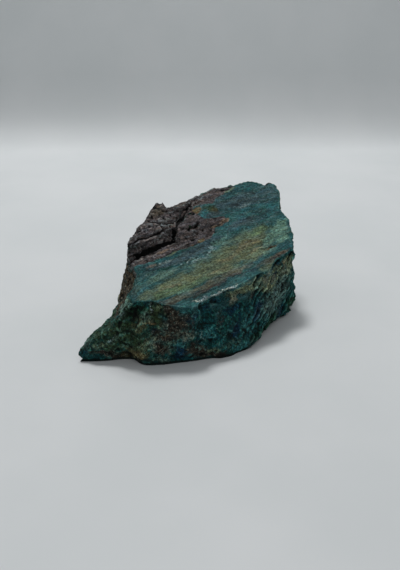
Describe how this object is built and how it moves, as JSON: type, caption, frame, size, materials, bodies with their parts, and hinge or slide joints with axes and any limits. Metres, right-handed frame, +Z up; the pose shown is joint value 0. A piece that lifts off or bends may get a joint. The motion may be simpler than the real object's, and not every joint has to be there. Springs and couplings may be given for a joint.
{
  "type": "rough turquoise stone",
  "caption": "Hand-sized lump of rough turquoise with dark matrix, broken to a wedge with a flat underside and a low tail.",
  "frame": {"origin": "under the middle of the stone's bounding box, on the floor it stands on", "axes": "+X to the right as the low front edge is looked at, +Y from the low front edge to the high back corner, +Z up"},
  "size_m": [0.07, 0.0692, 0.04],
  "materials": {
    "rough_stone": "rough broken stone, dull to faintly waxy"
  },
  "bodies": {
    "root": {"turquoise_stone": "rough_stone"}
  },
  "joints": []
}
